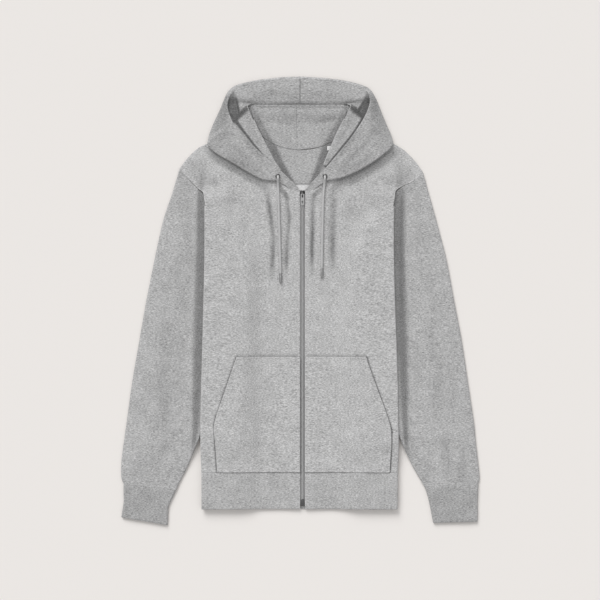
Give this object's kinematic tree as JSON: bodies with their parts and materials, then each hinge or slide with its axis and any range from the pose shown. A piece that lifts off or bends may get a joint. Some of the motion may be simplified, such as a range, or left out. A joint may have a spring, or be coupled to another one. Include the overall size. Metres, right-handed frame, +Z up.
{
  "type": "zip up hoodie",
  "caption": "Full-zip hooded sweatshirt in heather grey fleece, laid flat front up with its sides tucked behind, with patch pockets, rib cuffs and hem, and drawcords.",
  "frame": {"origin": "middle of the laid garment's outline, on the surface that it lies on", "axes": "+X across the garment, +Y toward the hood, +Z up from the surface, the way the front faces"},
  "size_m": [0.7002, 0.8756, 0.0197],
  "materials": {
    "fleece": "heather grey brushed fleece, knit side out",
    "fleece inside": "heather grey fleece, its pale brushed side showing at the neck",
    "rib": "heather grey rib knit",
    "zip tape": "grey woven tape",
    "zip teeth": "grey moulded teeth",
    "metal": "satin nickel",
    "dark metal": "dark nickel",
    "cord": "braided grey cord",
    "label": "plain white woven tape, blank"
  },
  "bodies": {
    "garment": {"back": "fleece inside", "cord_tip_left": "dark metal", "cord_tip_right": "dark metal", "cuff_left": "rib", "cuff_right": "rib", "drawcord_left": "cord", "drawcord_right": "cord", "eyelet_left": "dark metal", "eyelet_right": "dark metal", "front_left": "fleece", "front_right": "fleece", "hem_rib": "rib", "hood_back_left": "fleece", "hood_back_right": "fleece", "hood_left": "fleece", "hood_lining_left": "fleece", "hood_lining_right": "fleece", "hood_right": "fleece", "neck_patch": "fleece", "pocket_left": "fleece", "pocket_right": "fleece", "size_tab": "label", "sleeve_left": "fleece", "sleeve_right": "fleece", "zip_slider": "dark metal", "zip_stop": "dark metal", "zip_tape_left": "zip tape", "zip_tape_right": "zip tape", "zip_teeth_left": "zip teeth", "zip_teeth_right": "zip teeth"},
    "pull": {"zip_pull": "metal"}
  },
  "joints": [
    {"name": "pull_hinge", "type": "hinge", "parent": "garment", "child": "pull", "pos_m": [0.00415, 0.20726, 0.0084], "axis": [-1, 0, 0], "range_deg": [0, 150]}
  ]
}
